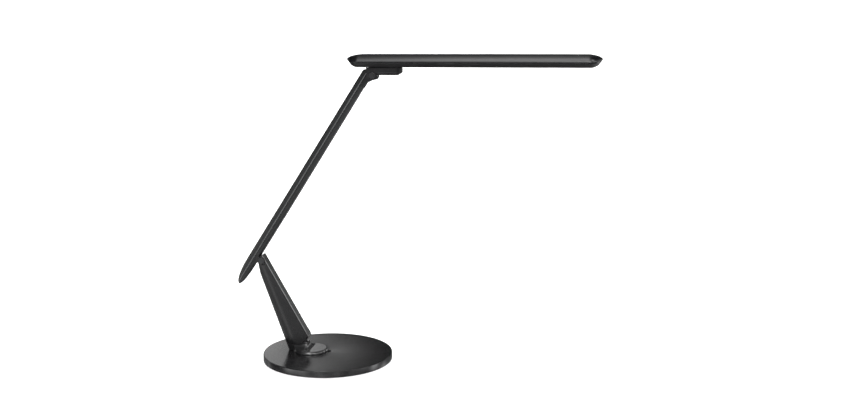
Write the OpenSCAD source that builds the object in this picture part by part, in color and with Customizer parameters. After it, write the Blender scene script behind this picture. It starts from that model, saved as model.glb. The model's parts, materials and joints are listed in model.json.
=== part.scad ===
// Desk lamp with a round weighted base, a swivelling foot, a leaning stem,
// a long arm and a slim light head. Millimetres, +Z up. The origin is the
// centre of the underside of the base pad. The stem, arm and head lie in the
// X-Z plane and the head points along +X. All tilt hinges turn about Y.

/* [Base] */
// Diameter of the base
base_d = 200; // [196:1:206]
// Height of the cover's top face above the table
base_h = 11.3; // [11.3:0.1:12]
// Wall thickness of the cover
cover_wall = 2.2; // [1.8:0.1:2.4]
// Thickness of the anti-slip pad
pad_t = 1.3; // [1:0.1:1.4]

/* [Turntable] */
// Distance of the swivel axis behind the centre of the base
swivel_off = 27.5; // [27:0.5:28.5]
// Diameter of the turntable disc
turn_d = 55; // [54:1:57]
// Thickness of the turntable disc
turn_t = 4.2; // [4.1:0.1:4.3]

/* [Stem] */
// Foot hinge axis, distance behind the centre of the base
foot_x = 44.5; // [44.3:0.1:44.7]
// Foot hinge axis, height above the table
foot_z = 34.3; // [34.2:0.1:34.5]
// Length of the stem from the foot hinge to the elbow hinge
stem_len = 132.1; // [131:0.1:134]
// Lean of the stem from the vertical, away from the head
stem_lean = 26.53; // [26.3:0.01:26.8]
// Depth of the stem from front to rear
stem_w = 17; // [17:0.1:17.4]
// Radius of the stem's rounded lower end
foot_r = 12; // [11.8:0.1:12.1]

/* [Arm] */
// Lean of the arm from the vertical, towards the head
arm_lean = 32.4; // [32:0.1:32.8]
// Thickness of the arm at the elbow
arm_t = 15; // [14.8:0.1:15.2]
// Depth of the arm from front to rear
arm_w = 16; // [15.8:0.1:16]
// Distance of the arm's centre line from the elbow axis
arm_off = 12.9; // [12.8:0.1:13]
// Distance along the arm from the elbow axis to the head hinge
arm_len = 338.5; // [337:0.5:340]
// Distance of the head hinge from the elbow axis, square to the arm
head_off = 3.6; // [3.5:0.1:3.7]

/* [Head] */
// Length of the head
head_l = 375; // [374:1:380]
// Width of the head
head_w = 56; // [56:1:58]
// Height of the head's underside above the head hinge
head_up = 12.3; // [12.2:0.1:12.5]
// Distance from the head's rear tip to the head hinge
head_rear = 38.3; // [38:0.1:39]
// Distance from the head hinge to the head's swivel axis
yoke_len = 30.2; // [30:0.1:30.6]

/* [Hidden] */
$fn = 64;
e = 0.01;

// hinge points, in the X-Z plane
F = [-foot_x, foot_z];
E = F + stem_len * [-sin(stem_lean), cos(stem_lean)];
AU = [sin(arm_lean), cos(arm_lean)];
AN = [cos(arm_lean), -sin(arm_lean)];
H = E + arm_len * AU - head_off * AN;
// swivel axes
SX = -swivel_off;
VX = H[0] + yoke_len;
// levels
disc_b = base_h + 0.4;
disc_z = disc_b + turn_t;
head_z = H[1] + head_up;
hx0 = H[0] - head_rear;
hx1 = hx0 + head_l;

// stem: distances of its right and left faces from the foot and elbow axes
sr_f = 14.9; sr_e = 7.03; sl_f = 25.09; sl_e = 10.19;
ra = asin((sr_f - sr_e) / stem_len);
la = asin((sl_f - sl_e) / stem_len);
function xr(z) = (sr_f - z * sin(ra)) / cos(ra);
function xl(z) = -(sl_f - z * sin(la)) / cos(la);
hw = stem_w / 2;
drum_r = 7.1;
knuckle_r = 6;
face = arm_off - arm_t / 2;

// placing
module at_stem() translate([F[0], 0, F[1]]) rotate([0, -stem_lean, 0]) children();
module at_arm() translate([E[0], 0, E[1]]) rotate([0, arm_lean, 0]) children();
module at_head() translate([H[0], 0, H[1]]) children();
// an X-Z outline given depth between two Y values
module slab2(y0, y1) rotate([90, 0, 0]) translate([0, 0, -y1]) linear_extrude(y1 - y0) children();
module slab(w) slab2(-w / 2, w / 2) children();
// a cylinder along Y
module ycyl(r, y0, y1, fn = 64) translate([0, y0, 0]) rotate([-90, 0, 0]) cylinder(r = r, h = y1 - y0, $fn = fn);
// a wire swept through a list of points
function unit(v) = v / norm(v);
function side(t, i) = i == 0 ? unit(cross(t[0], abs(t[0][2]) < 0.9 ? [0, 0, 1] : [1, 0, 0])) : let (u = side(t, i - 1)) unit(u - (u * t[i]) * t[i]);
module wire(p, r, s = 8) {
  n = len(p);
  t = [for (i = [0:n - 1]) unit(i == 0 ? p[1] - p[0] : i == n - 1 ? p[i] - p[i - 1] : unit(p[i + 1] - p[i]) + unit(p[i] - p[i - 1]))];
  u = [for (i = [0:n - 1]) side(t, i)];
  v = [for (i = [0:n - 1]) cross(t[i], u[i])];
  polyhedron([for (i = [0:n - 1], j = [0:s - 1]) p[i] + r * (cos(360 * j / s) * u[i] + sin(360 * j / s) * v[i])],
    concat([[for (j = [s - 1:-1:0]) j]], [[for (j = [0:s - 1]) (n - 1) * s + j]],
      [for (i = [0:n - 2], j = [0:s - 1]) [i * s + j, i * s + (j + 1) % s, (i + 1) * s + (j + 1) % s, (i + 1) * s + j]]));
}
// everything further than d from the origin in direction a
module beyond(a, d) rotate(a) translate([d, -200]) square([200, 400]);
module rrect(x, y, r) { square([x - 2 * r, y], center = true); square([x, y - 2 * r], center = true);
  for (i = [-1, 1], j = [-1, 1]) translate([i * (x / 2 - r), j * (y / 2 - r)]) circle(r = r); }

// ---------------------------------------------------------------- base
module boss_at() for (a = [45:90:315]) rotate([0, 0, a]) translate([78, 0, 0]) children();
module base_cover() color("#1c1c1e") {
  difference() {
    rotate_extrude($fn = 128) polygon([[0, base_h - cover_wall], [base_d / 2 - cover_wall, base_h - cover_wall], [base_d / 2 - cover_wall, 0.9],
      [base_d / 2 - 0.4, 0.9], [base_d / 2, 1.3], [base_d / 2, base_h - 0.6], [base_d / 2 - 0.6, base_h], [0, base_h]]);
    translate([SX, 0, 0]) cylinder(r = 5.05, h = 20);
    translate([0, base_d / 2 - 8, 5.6]) rotate([-90, 0, 0]) cylinder(r = 2.3, h = 20, $fn = 48);
  }
  boss_at() difference() {
    translate([0, 0, pad_t + 1]) cylinder(r = 4, h = base_h - cover_wall - pad_t - 1 + e, $fn = 32);
    translate([0, 0, 1]) cylinder(r = 1.3, h = 6.9, $fn = 24);
  }
}
module base_weight() color("#6c6f73") difference() {
  translate([0, 0, pad_t + 1]) cylinder(r = base_d / 2 - 4, h = 6.4, $fn = 128);
  boss_at() translate([0, 0, 1]) cylinder(r = 4.3, h = 10, $fn = 32);
  translate([SX, 0, 1]) cylinder(r = 16, h = 10);
  translate([-7, base_d / 2 - 20, 1]) cube([14, 20, 10]);
  translate([SX, 0, 5]) rotate([0, 0, 71.2]) translate([0, -2.4, 0]) cube([86, 4.8, 10]);
}
module base_plate() color("#7d8084") difference() {
  translate([0, 0, pad_t]) cylinder(r = base_d / 2 - 3, h = 1, $fn = 128);
  boss_at() translate([0, 0, pad_t - e]) cylinder(r1 = 2.9, r2 = 1.6, h = 1 + 2 * e, $fn = 32);
}
module base_pad() color("#2b2b2c") cylinder(r = base_d / 2 - 3, h = pad_t, $fn = 128);
module base_screws() color("silver") boss_at() {
  translate([0, 0, pad_t + 0.02]) cylinder(r1 = 2.8, r2 = 1.5, h = 0.98, $fn = 32);
  translate([0, 0, pad_t + 0.9]) cylinder(r = 1.25, h = 5.2, $fn = 24);
}
module dc_socket() color("#111111") difference() {
  union() {
    translate([-5, base_d / 2 - 16, 2.5]) cube([10, 13.6, 6.2]);
    translate([0, base_d / 2 - 6, 5.6]) rotate([-90, 0, 0]) cylinder(r = 2.2, h = 5.6, $fn = 48);
  }
  translate([0, base_d / 2 - 9, 5.6]) rotate([-90, 0, 0]) difference() { cylinder(r = 1.75, h = 12, $fn = 48); translate([0, 0, -e]) cylinder(r = 0.65, h = 7.5, $fn = 24); }
}
module base_lead() color("#222222") wire([[0, base_d / 2 - 16.1, 7.2], [0, 80, 7.2], [SX + 5.3, 15.6, 7.2], [SX + 4.6, 13.2, 5.6], [SX + 3, 8, 3.7], [SX, 0.5, 3.7]], 0.9);
module swivel_washer() color("#d8d8d4") translate([SX, 0, base_h]) difference() { cylinder(r = 24, h = 0.37); translate([0, 0, -1]) cylinder(r = 5.3, h = 3); }
module swivel_spring() color("#a9acb0") translate([SX, 0, base_h - cover_wall - 0.9]) difference() {
  cylinder(r = 9, h = 0.89); translate([0, 0, -1]) cylinder(r = 5.2, h = 3);
}

// ----------------------------------------------------------- turntable
// left edge line of the stem carried down, as X at height z
la_w = stem_lean - la;
function xlw(z) = F[0] - sl_f / cos(la_w) - (z - F[1]) * tan(la_w);
boss_z = F[1] - foot_r - 0.3;
horn_z = 25.9;
hub_x = -30.9;
tl = [[SX, 0, 5.4], [SX, 0, 13.6], [SX, 1, 14.5], [SX, 4.6, 14.5], [SX - 1, 5.6, 14.5], [-56, 5.6, 14.5], [-57, 4.6, 14.5], [-57, 1, 14.5], [-57, 0, 15.5], [-57, 0, boss_z - 0.2]];
module nose_wedge(g) {
  translate([-46, -50, 0]) cube([80, 100, 60]);
  translate([xlw(F[1]), 0, F[1]]) rotate([0, -la_w, 0]) {
    translate([hw, g - hw, -45]) cube([60, stem_w - 2 * g, 80]);
    translate([hw, 0, -45]) cylinder(r = hw - g, h = 80);
  }
}
rim_r = 2;
module boss_outline() difference() {
  union() {
    polygon([[xlw(disc_b), disc_b], [hub_x, disc_b], [hub_x, horn_z], [F[0], horn_z], [F[0], boss_z], [xlw(boss_z), boss_z]]);
    difference() { translate([hub_x - 1, disc_b + 1]) square([7.5, 9.7]); translate([hub_x + 6.5, disc_z + 6.5]) circle(r = 6.5, $fn = 96); }
  }
  translate(F) circle(r = foot_r + 0.3, $fn = 96);
}
// half the flare from the sides of the boss down to the rim of the disc
flare_y = turn_d / 2 - rim_r; flare_z = disc_z + 8.5;
flare = [for (a = [0:9:90]) [flare_y - (flare_y - hw) * cos(a), flare_z - 8.5 * sin(a)]];
module turntable() color("#202022") difference() {
  union() {
    translate([SX, 0, disc_b]) rotate_extrude($fn = 96) polygon(concat([[0, 0], [turn_d / 2 - 0.3, 0], [turn_d / 2, 0.3]],
      [for (a = [0:15:90]) [turn_d / 2 - rim_r + rim_r * cos(a), turn_t - rim_r + rim_r * sin(a)]], [[0, turn_t]]));
    intersection() { slab(stem_w) boss_outline(); nose_wedge(0); }
    intersection() {
      slab(turn_d) boss_outline();
      translate([SX, 0, disc_b + 1]) cylinder(r = flare_y, h = 20, $fn = 96);
      translate([-60, 0, 0]) rotate([90, 0, 90]) linear_extrude(60) polygon(concat(flare, [[flare_y, disc_b + 1], [-flare_y, disc_b + 1]], [for (i = [len(flare) - 1:-1:0]) [-flare[i][0], flare[i][1]]]));
    }
  }
  // pocket for the swivel plate, slot for the lug, hole for the lead
  translate([SX, 0, disc_b - 1]) cylinder(r = 15.2, h = 2.9);
  translate([-51.7, -7.2, disc_b - 1]) cube([24, 14.4, 2.9]);
  translate([F[0] - 7.2, -3.4, disc_b]) cube([14.4, 6.8, 40]);
  translate([SX - 1.1, -1.1, 13.4]) cube([2.2, 7.8, 2.1]);
  translate([-58.1, 4.5, 13.5]) cube([58.1 + SX, 2.2, 2]);
  translate([-58.1, -1.1, 13.5]) cube([2.2, 7.8, 2]);
  translate([-58.1, -1.1, 13.5]) cube([2.2, 2.2, 12]);
}
module swivel_plate() color("#8d9094") difference() {
  translate([0, 0, disc_b + 0.15]) union() {
    translate([SX, 0, 0]) cylinder(r = 15, h = 1.6);
    translate([-51.5, -7, 0]) cube([24, 14, 1.6]);
  }
  translate([SX, 0, 0]) cylinder(r = 5.02, h = 40);
  for (x = [-4.2, 4.2]) translate([F[0] + x, 0, disc_b + 0.14]) cylinder(r1 = 2.2, r2 = 1.35, h = 1.65, $fn = 32);
}
module swivel_axle() color("#9a9da1") translate([SX, 0, 0]) difference() {
  translate([0, 0, 5.1]) cylinder(r = 5, h = disc_b + 1.75 - 5.1);
  cylinder(r = 3.2, h = 20, $fn = 48);
}
module swivel_nut() color("#9a9da1") translate([SX, 0, 5.2]) difference() {
  cylinder(r = 9.6, h = base_h - cover_wall - 0.92 - 5.2, $fn = 6); translate([0, 0, -1]) cylinder(r = 5.02, h = 10);
}
module foot_lug() color("#85888c") difference() {
  slab(6.2) { translate(F) circle(r = 8); translate([F[0] - 7, disc_b + 1.76]) square([14, foot_z - disc_b - 1.76]); }
  translate([F[0], 0, F[1]]) ycyl(2.54, -10, 10);
  for (x = [-4.2, 4.2]) translate([F[0] + x, 0, 5]) cylinder(r = 1.25, h = 16, $fn = 24);
}
module foot_lug_screws() color("silver") for (x = [-4.2, 4.2]) translate([F[0] + x, 0, disc_b + 0.17]) {
  cylinder(r1 = 2.1, r2 = 1.25, h = 1.6, $fn = 32); translate([0, 0, 1.5]) cylinder(r = 1.2, h = 7, $fn = 24); }
module turntable_lead() color("#222222") wire(tl, 0.8);

// ---------------------------------------------------------------- stem
// outlines in the stem's own frame: foot hinge at the origin, elbow on +Z
sw = (sl_f * sin(stem_lean) / cos(la) - foot_r) / (cos(stem_lean) + tan(la) * sin(stem_lean));
lip = (sr_f / cos(ra)) / (cos(stem_lean) - sin(stem_lean) * tan(ra));
n0 = 180 - arm_lean - stem_lean;
module stem_cuts(gap) translate([0, stem_len]) {
  circle(r = knuckle_r + 0.25, $fn = 96);
  for (t = [-10:4:38]) beyond(n0 + t, face - gap);
}
function arc(r, a0, a1, n) = [for (i = [0:n]) r * [cos(a0 + (a1 - a0) * i / n), sin(a0 + (a1 - a0) * i / n)]];
module stem_outline(in = 0) difference() {
  polygon(concat(arc(foot_r, -90 - stem_lean, -stem_lean, 24),
    [[(lip - 2.2) * cos(stem_lean) - in, -(lip - 2.2) * sin(stem_lean)], [xr(-4) - 1.2 - in, -4], [xr(2) - in, 2],
    [xr(stem_len + 20) - in, stem_len + 20], [xl(stem_len + 20), stem_len + 20], [xl(sw), sw]]));
  stem_cuts(0.3);
}
module stem_nose(g) {
  rotate([0, la, 0]) translate([-sl_f + hw, g - hw, -60]) cube([90, stem_w - 2 * g, 300]);
  rotate([0, la, 0]) translate([-sl_f + hw, 0, -60]) cylinder(r = hw - g, h = 300);
}
module stem_housing() color("#1c1c1e") at_stem() difference() {
  intersection() { slab(stem_w) difference() { stem_outline(1.9); translate([0, stem_len]) square(40); } stem_nose(0); }
  intersection() {
    slab(stem_w) polygon([[xl(-40) - 10, -40], [40, -40], [40, stem_len - 9.6], [xl(stem_len) - 10, stem_len - 9.6]]);
    stem_nose(1.6);
  }
  // slot for the elbow tongue
  translate([-4.3, -3.1, stem_len - 12]) cube([8.4, 6.2, 12]);
}
module stem_cover() color("#1c1c1e") at_stem() intersection() {
  slab(stem_w) difference() { stem_outline(0); polygon([[-60, -60], [xr(-60) - 1.85, -60], [xr(stem_len) - 1.85, stem_len], [0, stem_len + 0.02], [0, stem_len + 40], [-60, stem_len + 40]]); }
  translate([0, -hw, -30]) cube([60, stem_w, 200]);
}
module stem_plate(y0, y1) difference() {
  slab2(y0, y1) polygon(concat(arc(8, -180, 0, 24), [[4.4, stem_len - 10], [-5, stem_len - 10]]));
  ycyl(2.51, -20, 20);
  for (d = [15, 26]) translate([0, 0, stem_len - d]) ycyl(1.52, -20, 20, 24);
}
module stem_plate_front() color("#85888c") at_stem() stem_plate(-5.6, -3.8);
module stem_plate_rear() color("#85888c") at_stem() stem_plate(3.8, 5.6);
module elbow_tongue() color("#85888c") at_stem() difference() {
  union() {
    slab(7.58) polygon([[-4.4, stem_len - 32], [4, stem_len - 32], [4, stem_len - 10], [-4.4, stem_len - 10]]);
    slab(6) { translate([0, stem_len]) circle(r = 5.6); translate([-4, stem_len - 12]) square([7.8, 12]); }
  }
  translate([0, 0, stem_len]) ycyl(2.54, -20, 20);
  for (d = [15, 26]) translate([0, 0, stem_len - d]) ycyl(1.52, -20, 20, 24);
}
module stem_bolts() color("silver") at_stem() for (d = [15, 26]) translate([0, 0, stem_len - d]) {
  ycyl(1.5, -6.1, 6.1, 24);
  for (s = [-1, 1]) difference() { ycyl(2.6, s > 0 ? 5.62 : -6.7, s > 0 ? 6.7 : -5.62, 32); ycyl(1.4, -6, 6, 24); }
}
module foot_pin() color("#a9acb0") at_stem() { ycyl(2.5, -5.7, 6.7); ycyl(4.6, -6.75, -5.63, 48); }
module foot_nut() color("#a9acb0") at_stem() difference() { ycyl(4.6, 5.63, 6.75, 6); ycyl(2.51, -10, 10); }
module foot_washers() color("#d8d8d4") at_stem() for (s = [-1, 1]) difference() { ycyl(6.4, s > 0 ? 3.15 : -3.77, s > 0 ? 3.77 : -3.15); ycyl(2.6, -10, 10); }
module elbow_washers() color("#d8d8d4") at_stem() translate([0, 0, stem_len]) for (s = [-1, 1]) difference() { ycyl(5.6, s > 0 ? 3.02 : -3.55, s > 0 ? 3.55 : -3.02); ycyl(2.6, -10, 10); }
module stem_lead() color("#222222") at_stem() wire([[-16.2, 0, -4.4], [-14.6, 0, 20], [-12, 0, 60], [-8.4, 0, 105], [-8.2, 0, stem_len - 10]], 0.8);

// ----------------------------------------------------------------- arm
// outlines in the arm's own frame: elbow axis at the origin, arm along +Z,
// +X towards the stem
ac = -arm_off; at = arm_t / 2; at1 = at - 0.45;
hl = [-head_off, arm_len];
spl = ac - at + 0.42 * arm_t;
module arm_outline() difference() {
  union() {
    polygon([[ac - at, -18], [ac - at + 0.3, -26], [ac - at + 0.9, -33], [ac - at + 2.1, -40], [ac - at + 3.9, -46.5], [ac - at + 5.8, -49.8],
      [ac + 0.7, -50.4], [ac + 2.3, -48.5], [ac + 3.3, -45], [ac + 4.7, -39.7], [ac + 6.5, -30.6], [ac + 7.3, -22.3], [ac + at, -14],
      [ac + at1, arm_len + 30], [ac - at1, arm_len + 30]]);
    translate(hl) circle(r = drum_r);
    polygon([[ac + at1 - 1, arm_len - 20], [ac + at1, arm_len - 20], hl + drum_r * [cos(40), -sin(40)], hl + drum_r * [cos(15), sin(15)], [ac + at1, arm_len + 9], [ac, arm_len + 9]]);
  }
  translate(hl) { beyond(90 + arm_lean, head_up - 1.7); beyond(97 + arm_lean, head_up - 1.7); }
}
module arm_skin(g) intersection() {
  slab(arm_w - 2 * g) arm_outline();
  union() {
    translate([ac, 0, -60]) linear_extrude(arm_len + 120) rrect(arm_t - 2 * g, arm_w - 2 * g, 4.5 - g);
    translate([ac, -arm_w / 2 + g, arm_len - 20]) cube([30, arm_w - 2 * g, 60]);
  }
}
module arm_cavity() intersection() {
  slab(arm_w - 3.2) polygon([[ac - at + 1.6, -20], [ac - 1, -44], [ac + 1, -44], [ac + at - 1.6, -20], [ac + at1 - 1.6, arm_len - 14], [ac - at1 + 1.6, arm_len - 6]]);
  translate([ac, 0, -60]) linear_extrude(arm_len + 120) rrect(arm_t - 3.2, arm_w - 3.2, 2.9);
}
module arm_top_shell() color("#1c1c1e") at_arm() difference() {
  arm_skin(0);
  arm_cavity();
  translate([spl - 0.05, -20, -100]) cube([60, 40, 600]);
}
module arm_bottom_shell() color("#1c1c1e") at_arm() difference() {
  arm_skin(0);
  arm_cavity();
  translate([spl - 60, -20, -100]) cube([60, 40, 600]);
  // window for the elbow bracket
  translate([-9.1, -20, -10.2]) cube([60, 40, 14.4]);
  // slot for the head lug and its pin
  translate([ac - 1, -3.1, arm_len - 16]) cube([60, 6.2, 60]);
  translate([hl[0], 0, hl[1]]) ycyl(2.8, -20, 20);
}
module arm_core() color("#8d9094") at_arm() difference() {
  translate([-13.4, -4.5, -24]) cube([4.1, 9, arm_len - 15.6 + 24]);
  for (z = [-16, 14]) translate([0, 0, z]) rotate([0, 90, 0]) translate([0, 0, -30]) cylinder(r = 1.25, h = 60, $fn = 24);
  for (z = [arm_len - 26, arm_len - 19]) translate([0, 0, z]) rotate([0, 90, 0]) translate([0, 0, -30]) cylinder(r = 1.25, h = 60, $fn = 24);
}
module elbow_bracket() color("#1c1c1e") at_arm() difference() {
  union() {
    for (s = [-1, 1]) slab2(s > 0 ? 3.6 : -8, s > 0 ? 8 : -3.6) difference() {
      union() { circle(r = knuckle_r); polygon([[-7.1, -10], [-5.4, -10], [-5.4, -2.6], [0, -4], [0, 4], [-5.2, 3], [-5.4, 4], [-7.1, 4]]); }
    }
    translate([-9.25, -5, -19.5]) cube([1.7, 10, 39]);
    slab(16) polygon([[-9, -10], [-7, -10], [-7, 4], [-9, 4]]);
  }
  ycyl(2.51, -20, 20);
  ycyl(4.6, 6.4, 20); ycyl(4.6, -20, -6.4);
  for (z = [-16, 14]) translate([-20, 0, z]) rotate([0, 90, 0]) cylinder(r = 1.35, h = 20, $fn = 24);
}
module elbow_pin() color("#a9acb0") at_arm() { ycyl(2.5, -6.45, 7.6); ycyl(4.5, -7.8, -6.42, 48); }
module elbow_nut() color("#a9acb0") at_arm() difference() { ycyl(4.5, 6.42, 7.8, 6); ycyl(2.51, -10, 10); }
module head_lug() color("#85888c") at_arm() difference() {
  union() {
    slab(6) { translate(hl) circle(r = 6.3); polygon([[-9.2, arm_len - 12], [-4, arm_len - 12], hl + [4, -4.8], hl + [0, 6.3], [-9.2, arm_len + 4]]); }
    translate([-9.25, -4.5, arm_len - 30]) cube([1.6, 9, 14.8]);
    slab(6) polygon([[-9.25, arm_len - 17], [-7.65, arm_len - 17], [-5, arm_len - 10], [-9.2, arm_len - 8]]);
  }
  translate([hl[0], 0, hl[1]]) ycyl(2.54, -20, 20);
  for (z = [arm_len - 26, arm_len - 19]) translate([-20, 0, z]) rotate([0, 90, 0]) cylinder(r = 1.35, h = 20, $fn = 24);
}
module arm_screws() color("silver") at_arm() for (z = [-16, 14, arm_len - 26, arm_len - 19]) translate([-14.9, 0, z]) rotate([0, 90, 0]) {
  cylinder(r = 2.3, h = 1.45, $fn = 32); translate([0, 0, 1.4]) cylinder(r = 1.2, h = 6, $fn = 24); }
module arm_lead() color("#222222") at_arm() wire([[-16.4, 0, -12], [-16.4, 3.2, 0], [-16.4, 3.2, arm_len - 34], [-16, 0, arm_len - 20], [-16, 0, arm_len - 12]], 0.8);

// ---------------------------------------------------------------- yoke
yx1 = 44.1; yb = 0.4; yt = head_up - 0.3; yw = 24;
module head_yoke() color("#1c1c1e") at_head() difference() {
  intersection() {
    slab(yw) polygon(concat([[-10.3, yt], [-9.4, 5], [-7.4, 1]], arc(7.2, -180, 0, 32), [[7.2, yb], [37, yb], [yx1, 4.3], [yx1, yt - 5], [yx1 - 1.5, yt - 1.5], [yx1 - 5, yt]]));
    union() {
      translate([-20, -yw / 2, -20]) cube([yx1 + 12, yw, 50]);
      translate([yx1 - yw / 2, 0, -20]) cylinder(r = yw / 2, h = 50);
    }
    // chamfer along both lower edges of the block
    rotate([90, 0, 90]) translate([0, 0, -20]) linear_extrude(80) polygon([[-9, -10], [9, -10], [yw / 2, -7], [yw / 2, 20], [-yw / 2, 20], [-yw / 2, -7]]);
  }
  // gap for the end of the arm
  translate([-30, -8.3, -20]) cube([38.6, 16.6, 60]);
  // room inside the block, and the seat of its cover
  translate([10.2, -9.4, -5]) cube([yx1 - 13.5 - 10.2 + 6, 18.8, yt + 3]);
  translate([9.4, -10.2, -5]) cube([yx1 - 6 - 9.4, 20.4, 6.8]);
  translate([yoke_len, 0, 0]) cylinder(r = 4.04, h = 40);
  translate([yoke_len, 0, 4.6]) cylinder(r = 7.8, h = yt - 2 - 4.6);
  translate([5, 0, yb + 6]) rotate([0, 90, 0]) cylinder(r = 1.3, h = 8, $fn = 24);
  // pin hole with a pocket at each end
  ycyl(2.51, -30, 30);
  ycyl(4.8, 10.1, 30); ycyl(4.8, -30, -10.1);
}
module yoke_cover() color("#1c1c1e") at_head() difference() {
  translate([9.5, -10.1, yb]) cube([yx1 - 6.1 - 9.5, 20.2, 1.3]);
  translate([37, -20, yb - 1]) rotate([0, -31, 0]) cube([20, 40, 1.2]);
}
module head_pin() color("#a9acb0") at_head() { ycyl(2.5, -10.2, 11.6); ycyl(4.6, -11.8, -10.12, 48); }
module head_nut() color("#a9acb0") at_head() difference() { ycyl(4.6, 10.12, 11.8, 6); ycyl(2.51, -20, 20); }
module head_washers() color("#d8d8d4") at_head() for (s = [-1, 1]) difference() { ycyl(6.6, s > 0 ? 8.02 : -8.28, s > 0 ? 8.28 : -8.02); ycyl(2.6, -20, 20); }
module head_spring() color("#a9acb0") at_head() translate([yoke_len, 0, yt - 2 - 0.92]) difference() { cylinder(r = 7.4, h = 0.9); translate([0, 0, -1]) cylinder(r = 4.2, h = 3); }
module yoke_lead() color("#222222") at_head() wire([[8.7, 0, yb + 6], [14, 0, yb + 6], [18, 0, 3.2], [yoke_len, 0, 3.0]], 0.8);

// ---------------------------------------------------------------- head
// outlines relative to the head's underside
hc = (hx0 + hx1) / 2;
head_t = 19.3; nose_e = 12.1; nose_s = 7;
upe = [[0, 0], [0.7, 1.3], [2.4, 2.6], [5.3, 4], [9.7, 5.4], [15.6, 6.7], [22, 7.2]];
dne = [[18.5, -12.1], [11.2, -11.2], [6.8, -8.9], [4.2, -5.6], [2.4, -3.2], [0.8, -1.2]];
ups = [for (a = [0:10:90]) [15 * (1 - cos(a)), 12.3 * sin(a)]];
dns = [[11, -7], [8.4, -6.4], [5.2, -4.5], [2.4, -2.2]];
// half outline above the underside; its widest point is at height nz
function prof(h, high, low, nz, g) = concat([for (p = low) [h - g - p[0], nz + p[1] * (nz - g) / nz]],
  [for (p = high) [h - g - p[0], nz + p[1] * (head_t - nz - g) / (head_t - nz)]]);
function mirr(p) = concat(p, [for (i = [len(p) - 1:-1:0]) [-p[i][0], p[i][1]]]);
module head_solid(g) translate([0, 0, head_z]) intersection() {
  translate([hc, 0, 0]) linear_extrude(30) rrect(head_l - 2 * g, head_w - 2 * g, 20 - g);
  translate([hc, 0, 0]) slab(head_w) polygon(mirr(prof(head_l / 2, upe, dne, nose_e, g)));
  translate([hx0 - 1, 0, 0]) rotate([90, 0, 90]) linear_extrude(head_l + 2) polygon(mirr(prof(head_w / 2, ups, dns, nose_s, g)));
}
dx0 = VX + 30; dx1 = hx1 - 21; dw = 14.5;
scr = [[hx0 + 15, 9], [hx0 + 15, -9], [VX + 19, 16], [VX + 19, -16]];
module head_top_shell() color("#1c1c1e") {
  difference() {
    head_solid(0);
    head_solid(1.6);
    translate([0, -50, head_z - 10]) cube([600, 100, 17.02]);
  }
  intersection() {
    head_solid(0.8);
    union() for (p = scr) translate([p[0], p[1], head_z + 7.02]) difference() { cylinder(r = 2.6, h = 20, $fn = 32); translate([0, 0, -1]) cylinder(r = 1.15, h = 6, $fn = 24); }
  }
}
module head_bottom_frame() color("#1c1c1e") difference() {
  union() {
    difference() {
      head_solid(0);
      translate([0, 0, 0]) head_solid(1.8);
      translate([0, -50, head_z + 7]) cube([600, 100, 30]);
    }
    for (p = scr) translate([p[0], p[1], head_z + 1.7]) cylinder(r = 2.8, h = 5.3, $fn = 32);
  }
  translate([dx0, -dw, head_z - 1]) cube([dx1 - dx0, 2 * dw, 6]);
  translate([VX, 0, head_z - 1]) cylinder(r = 4.03, h = 10);
  for (p = scr) translate([p[0], p[1], head_z - 1]) { cylinder(r = 1.3, h = 20, $fn = 24); cylinder(r = 2.5, h = 2.2, $fn = 32); }
}
module diffuser() color("#f2f2ee") translate([0, 0, head_z]) {
  translate([dx0 + 0.15, -dw + 0.15, 0.3]) cube([dx1 - dx0 - 0.3, 2 * dw - 0.3, 1.6]);
  translate([dx0 - 2, -dw - 0.6, 1.82]) cube([dx1 - dx0 + 2.5, 2 * dw + 1.2, 0.5]);
}
module light_guide() color("#e8f0f2") translate([dx0 - 1.5, -dw - 1, head_z + 2.36]) cube([dx1 - dx0 + 2, 2 * dw + 2, 2.4]);
module reflector() color("#ffffff") translate([dx0 - 1.5, -dw - 1.1, head_z + 4.8]) cube([dx1 - dx0 + 2, 2 * dw + 2.2, 0.3]);
module led_strips() color("#f0e9c8") for (s = [-1, 1]) translate([dx0 - 1.5, s > 0 ? dw + 1.03 : -dw - 1.83, head_z + 2.4]) cube([dx1 - dx0 + 2, 0.8, 2.3]);
module heat_spreader() color("#b8bbbe") translate([dx0 - 1.5, -dw - 1.8, head_z + 5.12]) cube([dx1 - dx0 + 2, 2 * dw + 3.6, 1]);
module touch_board() color("#1d4a30") translate([VX - 42, -9, head_z + 16]) cube([30, 18, 1.6]);
module head_axle() color("#9a9da1") translate([VX, 0, 0]) difference() {
  union() { translate([0, 0, H[1] + 4.4]) cylinder(r = 4, h = head_up - 4.4 + 2.6); translate([0, 0, head_z + 1.82]) cylinder(r = 10, h = 1.4); }
  translate([0, 0, H[1]]) cylinder(r = 2.2, h = 40, $fn = 48);
}
module head_axle_nut() color("#9a9da1") translate([VX, 0, H[1] + 5.4]) difference() { cylinder(r = 7.4, h = yt - 2 - 0.94 - 5.4, $fn = 6); translate([0, 0, -1]) cylinder(r = 4.02, h = 20); }
module head_screws() color("silver") for (p = scr) translate([p[0], p[1], head_z + 0.1]) { cylinder(r = 2.4, h = 1, $fn = 32); translate([0, 0, 0.9]) cylinder(r = 1.1, h = 11, $fn = 24); }
module head_lead() color("#222222") wire([[VX, 0, head_z - 6], [VX, 0, head_z + 9], [VX + 14, 6, head_z + 9], [dx0 - 4.6, 12, head_z + 7.5], [dx0 - 4.4, dw + 1.4, head_z + 4.6], [dx0 - 2.1, dw + 1.43, head_z + 3.6]], 0.6);

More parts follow.
